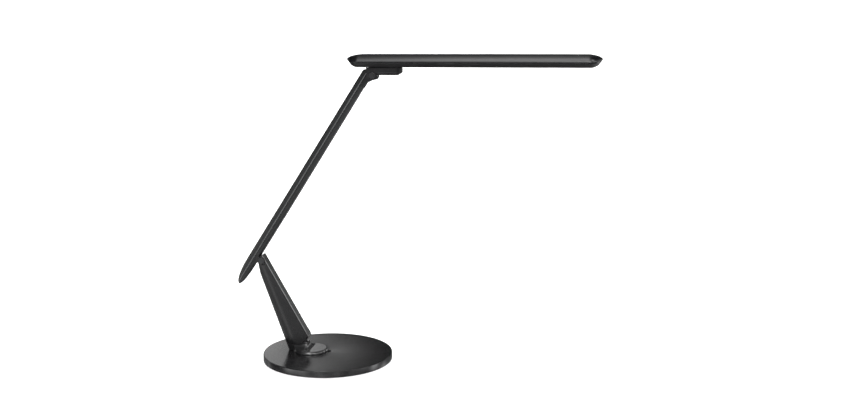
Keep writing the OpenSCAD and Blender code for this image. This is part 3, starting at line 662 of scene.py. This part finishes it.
az = axis(-54, 356, 4.0, (-54, -16, 0.5), (-16, 10, 0.5), (HLZ - 26, HLZ + 18, 0.4))
ay = axis(-8.6, 8.6, 0.5, (-8.6, -6.0, 0.2), (6.0, 8.6, 0.2))
# the pale line on the upper arm shell is a painted highlight along the joint of the shells
M["arm_painted_highlight"] = painted_highlight_line("arm_edge_painted_highlight", *arm_place(np.array([[SPL - 0.6, 0, -45], [SPL - 0.6, 0, HLZ]])), 0.5, 0.12)
top = solid("arm_top_skin", f_arm_top, axis(-21.8, SPL + 0.8, 0.4, (SPL - 2.0, SPL + 0.6, 0.2)), ay, az, arm_place, arm_turn)
piece(top, "arm", "arm_painted_highlight", "black_shell", "arm_top_shell")
bot = solid("arm_bottom_skin", f_arm_bottom, axis(SPL - 0.8, 5.2, 0.4, (SPL - 0.8, SPL + 1.0, 0.2)), ay, az, arm_place, arm_turn)
piece(bot, "arm", "black_shell", "black_shell", "arm_bottom_shell")

NECK = [(-9, -10), (-5.4, -10), (-5.4, -2.6), (0, -4), (0, 4), (-5.2, 3), (-5.4, 4), (-9, 4)]


def f_elbow(x, y, z):
    prof2 = rmin(np.hypot(x, z) - 6.0, poly(x, z, NECK), 0.8)
    d = rmax(prof2, band(np.abs(y), 3.6, 8.0), 0.5)
    d = np.minimum(d, rmax(np.maximum(band(x, -9, -7), band(z, -10, 4)), np.abs(y) - 8, 0.2))
    d = np.minimum(d, np.maximum(np.maximum(band(x, -9.25, -7.55), band(z, -19.5, 19.5)), np.abs(y) - 5.0))
    d = cut(d, np.maximum(np.hypot(x, z) - 4.6, 6.4 - np.abs(y)), 0.15)
    return cut(d, np.hypot(x, z) - 2.51)


elb = solid("elbow_knuckle", f_elbow, axis(-10, 6.8, 0.3), axis(-8.5, 8.5, 0.3), axis(-23, 21, 0.35), arm_place, arm_turn)
piece(elb, "arm", "black_shell", "black_shell", "elbow_bracket")

# -------------------------------------------------------------------- yoke
YT, YB, YX = 12.0, 0.4, 44.1
yoke_out = [(-10.3, YT), (-9.4, 5), (-7.4, 1)] + arc(7.2, -180, 0, 32) + [(7.2, YB), (36.5, YB), (YX, 4.6), (YX, YT - 3), (YX - 0.8, YT - 1), (YX - 3, YT)]


def at_head(p):
    return p + np.array([H[0], 0, H[1]])


def f_yoke(x, y, z):
    o = poly(x, z, yoke_out)
    plan = rrect2(x - (YX - 40), y, 40, 12, 9)
    d = rmax(rmax(o, np.abs(y) - 12, 0.7), plan, 0.5)
    # broad chamfer along the lower edges of the block
    low = (np.abs(y) - 12) * math.sin(math.radians(48)) - (z - 4.4) * math.cos(math.radians(48))
    d = np.where(x > 6.5, rmax(d, low - 0.0 * x, 0.4), d)
    d = cut(d, np.maximum(x - 8.6, np.abs(y) - 8.3), 0.15)
    d = cut(d, np.maximum(np.maximum(band(x, 10.2, 36.6), np.abs(y) - 9.4), z - YT + 2))
    d = cut(d, np.maximum(np.maximum(np.hypot(x - 30.2, y) - 8.0, 5.0 - z), z - YT + 2))
    d = cut(d, np.maximum(np.maximum(band(x, 9.4, 38.1), np.abs(y) - 8.3), z - 1.8))
    d = cut(d, np.hypot(x - 30.2, y) - 4.04)
    d = cut(d, np.hypot(x, z) - 2.51)
    return cut(d, np.maximum(np.hypot(x, z) - 4.8, 10.1 - np.abs(y)), 0.15)


yk = solid("yoke_skin", f_yoke, axis(-9, 45, 0.35), axis(-12.6, 12.6, 0.35), axis(-9, 12.8, 0.35), at_head)
piece(yk, "yoke", "black_shell", "black_shell", "head_yoke")


def f_yoke_cover(x, y, z):
    return rmax(rmax(band(x, 9.55, 37.95), np.abs(y) - 8.15, 0.6), band(z, YB, YB + 1.3), 0.25)


yc = solid("yoke_cover_skin", f_yoke_cover, axis(9, 38.6, 0.5), axis(-8.8, 8.8, 0.5), axis(0, 2.2, 0.2), at_head)
piece(yc, "yoke", "frame_black", "black_shell", "yoke_cover")

# -------------------------------------------------------------------- head
HC = (HX0 + HX1) / 2
NZ = HEAD_Z + 12.1
SEAM = HEAD_Z + 7.0


def low_end(d):
    return np.interp(d, [0, 0.8, 2.4, 4.2, 6.8, 11.2, 18.5], [0, 0.1, 0.265, 0.463, 0.735, 0.926, 1.0])


def low_side(d):
    return np.interp(d, [0, 2.4, 5.2, 8.4, 11, 13], [0, 0.315, 0.64, 0.91, 0.99, 1.0])


def up_end(d):
    t = 1 - np.clip(d, 0, 22) / 22
    return (1 - t * t) ** 0.62


def up_side(d):
    t = 1 - np.clip(d, 0, 15) / 15
    return np.sqrt(1 - t * t + 1e-9)


def f_head(x, y, z, g=0.0):
    hx, hy, r = 187.5, 28.0, 20.0
    qx, qy = np.abs(x - HC) - hx + r, np.abs(y) - hy + r
    d = -(np.sqrt(np.maximum(qx, 0) ** 2 + np.maximum(qy, 0) ** 2) + np.minimum(np.maximum(qx, qy), 0) - r)
    wx = np.maximum(qx, 0.0) ** 2
    wy = np.maximum(qy, 0.0) ** 2
    w = wx / (wx + wy + 1e-6)
    w = np.where((qx <= 0) & (qy <= 0), (qx > qy) * 1.0, w)
    w = w * w * (3 - 2 * w)
    edge = 7 + 5.1 * w
    di = d - g
    hi = edge + ((1 - w) * up_side(di) + w * up_end(di)) * (19.3 - edge - g)
    lo = edge - ((1 - w) * low_side(di) + w * low_end(di)) * (edge - g)
    k = 0.75
    f = np.maximum((z - HEAD_Z - hi) * np.clip(di / 9 + 0.25, 0.3, 1.0), (HEAD_Z + lo - z) * k)
    return rmax(f, g - d, 0.35)


DX0, DX1, DW = VX + 30, HX1 - 21, 14.5


def f_head_top(x, y, z):
    d = rmax(f_head(x, y, z), SEAM + 0.12 - z, 0.18)
    return np.maximum(d, -f_head(x, y, z, 1.6))


def f_head_bottom(x, y, z):
    d = rmax(f_head(x, y, z), z - SEAM + 0.12, 0.15)
    d = np.maximum(d, -f_head(x, y, z, 1.8))
    d = cut(d, np.maximum(np.maximum(band(x, DX0, DX1), np.abs(y) - DW), z - HEAD_Z - 5), 0.3)
    return cut(d, np.hypot(x - VX, y) - 4.03, 0.2)


hx_axis = axis(HX0 - 0.7, HX1 + 0.7, 5.0, (HX0 - 1, HX0 + 23, 0.8), (HX1 - 23, HX1 + 1, 0.8))
hx_low = axis(HX0 - 0.7, HX1 + 0.7, 5.0, (HX0 - 1, HX0 + 23, 0.8), (VX - 5.5, VX + 5.5, 0.5), (DX0 - 1, DX0 + 1, 0.3), (HX1 - 23, HX1 + 1, 0.7))
hy_axis = axis(-28.7, 28.7, 1.2, (-28.7, -16, 0.55), (16, 28.7, 0.55), (-5.5, 5.5, 0.5))
ht = solid("head_top_skin", f_head_top, hx_axis, axis(-28.7, 28.7, 1.2, (-28.7, -16, 0.5), (16, 28.7, 0.5)), axis(SEAM - 0.5, HEAD_Z + 20, 0.4))
piece(ht, "head", "black_shell", "black_shell", "head_top_shell")
hb = solid("head_frame_skin", f_head_bottom, hx_low, hy_axis, axis(HEAD_Z - 0.6, SEAM + 0.6, 0.35))
piece(hb, "head", "frame_black", "black_shell", "head_bottom_frame")

# ------------------------------------------------- carried-over CAD pieces
for n, w in (("diffuser", 0.25), ("foot_pin", 0.25), ("foot_nut", 0.2), ("elbow_pin", 0.3), ("elbow_nut", 0.25), ("head_pin", 0.3), ("head_nut", 0.25),
             ("foot_lug", 0.3), ("elbow_tongue", 0.25), ("head_lug", 0.25), ("base_pad", 0.35), ("dc_socket", 0.15)):
    bevel(NODES[n], w)

# ------------------------------------------------------------------- stage
def quad(name, pts, mat):
    me = bpy.data.meshes.new(name)
    me.from_pydata(pts, [], [tuple(range(len(pts)))])
    ob = bpy.data.objects.new(name, me)
    bpy.context.scene.collection.objects.link(ob)
    me.materials.append(mat)
    return ob


fm, nt, b = new_mat("floor_white")
b.inputs["Base Color"].default_value = (0.86, 0.86, 0.86, 1)
b.inputs["Roughness"].default_value = 0.9
b.inputs["Specular IOR Level"].default_value = 0.0
b.inputs["Emission Color"].default_value = (1, 1, 1, 1)
b.inputs["Emission Strength"].default_value = 0.62
floor = quad("floor", [(-9, -6, 0), (9, -6, 0), (9, 3.4, 0), (-9, 3.4, 0)], fm)
wall = quad("backdrop", [(-9, 3.4, 0), (9, 3.4, 0), (9, 3.4, 6), (-9, 3.4, 6)], fm)
for ob in (floor, wall):
    ob.visible_glossy = False

bpy.context.scene.view_settings.view_transform = "Standard"
world = bpy.data.worlds.new("studio")
bpy.context.scene.world = world
world.use_nodes = True
wt = world.node_tree
bg = wt.nodes["Background"]
tc = wt.nodes.new("ShaderNodeTexCoord")


def wmath(op, a, b=None):
    n = wt.nodes.new("ShaderNodeMath")
    n.operation = op
    for i, v in enumerate((a, b)):
        if v is None:
            continue
        if isinstance(v, (int, float)):
            n.inputs[i].default_value = v
        else:
            wt.links.new(v, n.inputs[i])
    return n.outputs[0]


def lamp(az, el, width, level):
    """Soft patch of light seen in direction az (degrees right of the front) and el (degrees up)."""
    a, e = math.radians(az), math.radians(el)
    n = wt.nodes.new("ShaderNodeVectorMath")
    n.operation = "DOT_PRODUCT"
    wt.links.new(tc.outputs["Generated"], n.inputs[0])
    n.inputs[1].default_value = (math.sin(a) * math.cos(e), -math.cos(a) * math.cos(e), math.sin(e))
    k = 0.693 / (1 - math.cos(math.radians(width)))
    return wmath("MULTIPLY", wmath("EXPONENT", wmath("MULTIPLY", wmath("SUBTRACT", n.outputs["Value"], 1.0), k)), level)


LAMPS = [
    (-66, -64, 6.5, 17.9), (10, 22, 6.5, 9.86), (36, 45, 6.5, 8.46), (-6, 66, 6.5, 7.25), (42, 21, 6.5, 6.61), (-9, 49, 6.5, 5.83),
    (-15, 26, 6.5, 4.95), (90, 28, 6.5, 4.93), (103, -14, 6.5, 4.92), (-54, -69, 6.5, 4.86), (62, 22, 6.5, 4.74), (115, 23, 6.5, 4.74),
    (0, 34, 6.5, 4.45), (124, -62, 6.5, 4.19), (-59, -10, 6.5, 4.1), (144, 12, 6.5, 3.72), (-116, 19, 6.5, 3.58), (57, -37, 6.5, 3.49),
    (132, -24, 6.5, 2.72), (-32, -5, 6.5, 2.33), (150, -33, 6.5, 2.3), (-47, -12, 6.5, 2.25), (-31, 82, 6.5, 2.23), (-20, -32, 6.5, 2.18),
    (69, -40, 6.5, 2.15), (7, 12, 6.5, 2.06), (-5, 41, 6.5, 2.05), (78, -10, 6.5, 1.92), (-93, -35, 6.5, 1.73), (-116, 85, 6.5, 1.32),
    (30, -16, 6.5, 1.25), (58, -11, 6.5, 1.19), (7, -27, 6.5, 1.15), (-3, 24, 6.5, 1.09), (0, -31, 6.5, 1.07), (-2, -15, 6.5, 1.06),
    (-160, 25, 4.5, 1.04), (-27, -11, 6.5, 0.942), (-7, -9, 6.5, 0.926), (-115, -20, 6.5, 0.891), (-35, -14, 6.5, 0.876),
    (-73, -33, 6.5, 0.86), (-30, -20, 6.5, 0.844), (171, -51, 6.5, 0.83), (-164, 63, 6.5, 0.822), (-169, 81, 6.5, 0.791),
    (-160, 12, 4.5, 0.746), (176, 60, 6.5, 0.696), (-159, -72, 6.5, 0.616), (-160, 20, 4.5, 0.605), (157, -29, 6.5, 0.603),
    (-156, 12, 4.5, 0.567), (-74, -73, 6.5, 0.538), (166, -1, 6.5, 0.516), (165, -25, 6.5, 0.508), (-140, -15, 6.5, 0.507),
    (18, -14, 6.5, 0.491), (-60, -36, 6.5, 0.485), (-53, -31, 6.5, 0.407), (-85, -30, 6.5, 0.392), (170, 34, 6.5, 0.346),
    (176, 8, 4.5, 0.227), (158, -4, 6.5, 0.225),
]
total = 0.0
for row in LAMPS:
    total = wmath("ADD", lamp(*row), total)
wt.links.new(total, bg.inputs[1])
bg.inputs[0].default_value = (1, 1, 1, 1)

cam = bpy.data.cameras.new("camera")
co = bpy.data.objects.new("camera", cam)
bpy.context.scene.collection.objects.link(co)
bpy.context.scene.camera = co
cam.sensor_fit = "HORIZONTAL"
cam.sensor_width = 36
cam.lens = 44.659
cam.shift_x = 0.03183
cam.shift_y = -0.03719
cam.clip_end = 50
co.location = Vector((0.39804, -1.55519, 0.50346))
look = Vector((-0.177766, 0.975223, -0.131680)).normalized()
side = look.cross(Vector((-0.0209971, 0.1300221, 0.9912888))).normalized()
co.rotation_euler = Matrix((side, side.cross(look), -look)).transposed().to_euler()
